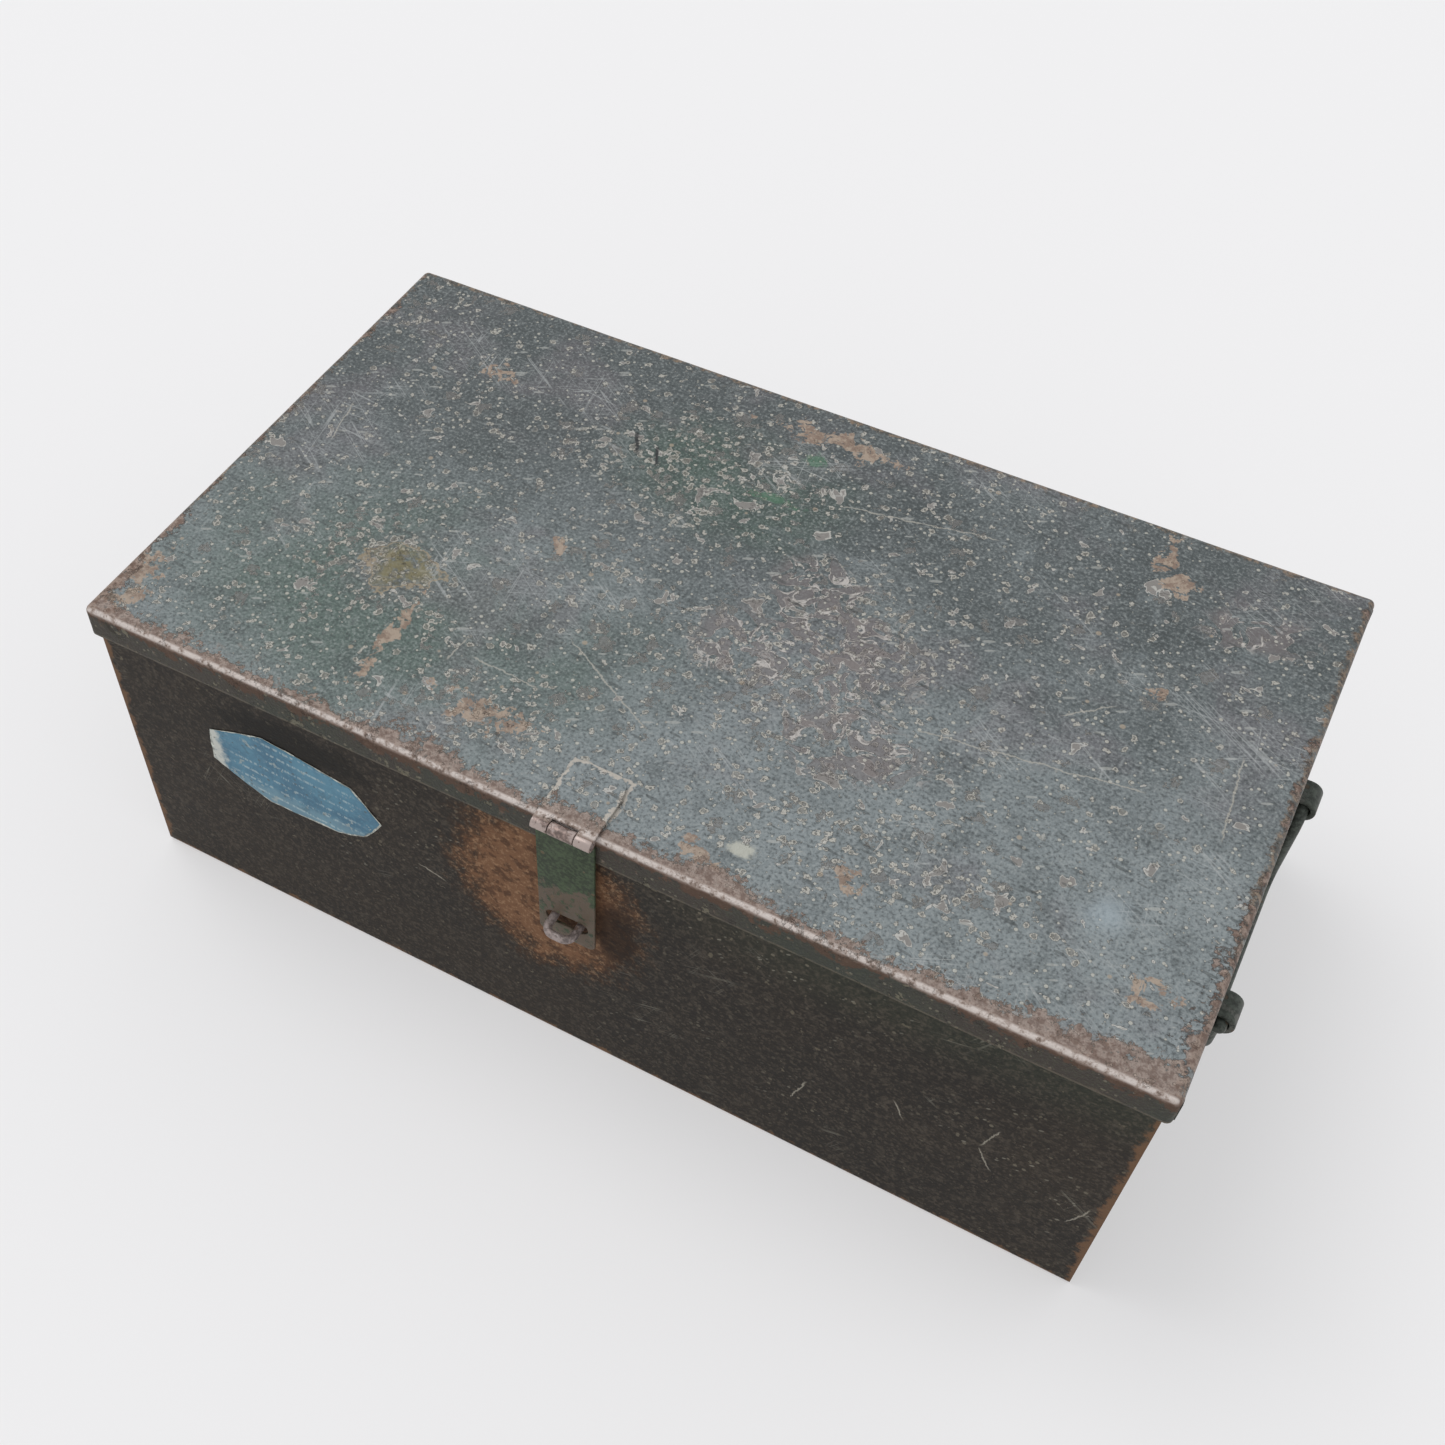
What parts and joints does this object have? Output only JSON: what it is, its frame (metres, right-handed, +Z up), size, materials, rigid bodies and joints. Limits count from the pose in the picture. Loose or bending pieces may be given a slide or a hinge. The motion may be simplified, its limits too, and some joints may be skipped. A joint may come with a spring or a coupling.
{
  "type": "toolbox with tray",
  "caption": "Rectangular sheet-steel toolbox with a hinged cap lid, hasp and staple, drop handles on both ends and a lift-out divided tray.",
  "frame": {"origin": "middle of the whole object's footprint, on the surface that the box stands on", "axes": "+Z up, -Y towards the front with the hasp, +X towards the right-hand end as seen from the front"},
  "size_m": [0.628, 0.3618, 0.217],
  "materials": {
    "lid_paint": "blue-grey paint, chipped, scratched and worn to bare metal along the edges",
    "body_paint": "very dark brown paint with fine flecks and scratches",
    "green_paint": "dark green paint, worn brown at the end",
    "bare_steel": "worn bare steel, dull",
    "dark_steel": "dark grey-green painted steel, rubbed",
    "tray_paint": "dark grey paint with light wear",
    "label_paper": "torn blue paper label with no lettering"
  },
  "bodies": {
    "box_body": {"body_wrap": "body_paint", "staple_plate": "dark_steel", "hasp_staple": "bare_steel", "label": "label_paper", "end_panel_left": "body_paint", "tray_rail_left": "body_paint", "hinge_body_leaf_left": "body_paint", "hinge_pin_left": "bare_steel", "handle_bracket_left_front": "dark_steel", "handle_rivet_left_front_upper": "dark_steel", "handle_rivet_left_front_lower": "dark_steel", "rail_rivet_left_front": "body_paint", "handle_bracket_left_rear": "dark_steel", "handle_rivet_left_rear_upper": "dark_steel", "handle_rivet_left_rear_lower": "dark_steel", "rail_rivet_left_rear": "body_paint", "hinge_body_rivet_left_a": "body_paint", "hinge_body_rivet_left_b": "body_paint", "end_panel_right": "body_paint", "tray_rail_right": "body_paint", "hinge_body_leaf_right": "body_paint", "hinge_pin_right": "bare_steel", "handle_bracket_right_front": "dark_steel", "handle_rivet_right_front_upper": "dark_steel", "handle_rivet_right_front_lower": "dark_steel", "rail_rivet_right_front": "body_paint", "handle_bracket_right_rear": "dark_steel", "handle_rivet_right_rear_upper": "dark_steel", "handle_rivet_right_rear_lower": "dark_steel", "rail_rivet_right_rear": "body_paint", "hinge_body_rivet_right_a": "body_paint", "hinge_body_rivet_right_b": "body_paint"},
    "lid": {"lid_shell": "lid_paint", "hasp_leaf": "lid_paint", "hasp_pin": "bare_steel", "hinge_lid_leaf_left": "lid_paint", "hinge_lid_rivet_left_a": "lid_paint", "hinge_lid_rivet_left_b": "lid_paint", "hinge_lid_leaf_right": "lid_paint", "hinge_lid_rivet_right_a": "lid_paint", "hinge_lid_rivet_right_b": "lid_paint", "hasp_rivet_back": "lid_paint", "hasp_rivet_left": "lid_paint", "hasp_rivet_right": "lid_paint"},
    "hasp": {"hasp_strap": "green_paint"},
    "handle_left": {"handle_left": "dark_steel"},
    "handle_right": {"handle_right": "dark_steel"},
    "tray": {"tray_pan": "tray_paint", "tray_divider_long": "tray_paint", "tray_divider_left": "tray_paint", "tray_clip_left_front": "tray_paint", "tray_clip_left_rear": "tray_paint", "tray_divider_right": "tray_paint", "tray_clip_right_front": "tray_paint", "tray_clip_right_rear": "tray_paint"},
    "tray_bail_left": {"tray_bail_left": "bare_steel"},
    "tray_bail_right": {"tray_bail_right": "bare_steel"}
  },
  "joints": [
    {"name": "lid_hinge", "type": "hinge", "parent": "box_body", "child": "lid", "pos_m": [0, 0.1773, 0.189], "axis": [-1, 0, 0], "range_deg": [0, 105]},
    {"name": "hasp_hinge", "type": "hinge", "parent": "lid", "child": "hasp", "pos_m": [-0.002, -0.1703, 0.2115], "axis": [-1, 0, 0], "range_deg": [0, 240]},
    {"name": "handle_left_swing", "type": "hinge", "parent": "box_body", "child": "handle_left", "pos_m": [-0.3065, 0.0034, 0.1516], "axis": [0, 1, 0], "range_deg": [-5, 175]},
    {"name": "handle_right_swing", "type": "hinge", "parent": "box_body", "child": "handle_right", "pos_m": [0.3065, 0.0034, 0.1516], "axis": [0, -1, 0], "range_deg": [-5, 175]},
    {"name": "tray_lift", "type": "slide", "parent": "box_body", "child": "tray", "axis": [0, 0, 1], "range_m": [0, 0.1]},
    {"name": "tray_bail_left_swing", "type": "hinge", "parent": "tray", "child": "tray_bail_left", "pos_m": [-0.2863, 0.0034, 0.175], "axis": [0, -1, 0], "range_deg": [0, 175]},
    {"name": "tray_bail_right_swing", "type": "hinge", "parent": "tray", "child": "tray_bail_right", "pos_m": [0.2863, 0.0034, 0.175], "axis": [0, 1, 0], "range_deg": [0, 175]}
  ],
  "couplings": [
    {"joint": "tray_lift", "follows": "lid_hinge", "m_per_rad": 0.054}
  ]
}
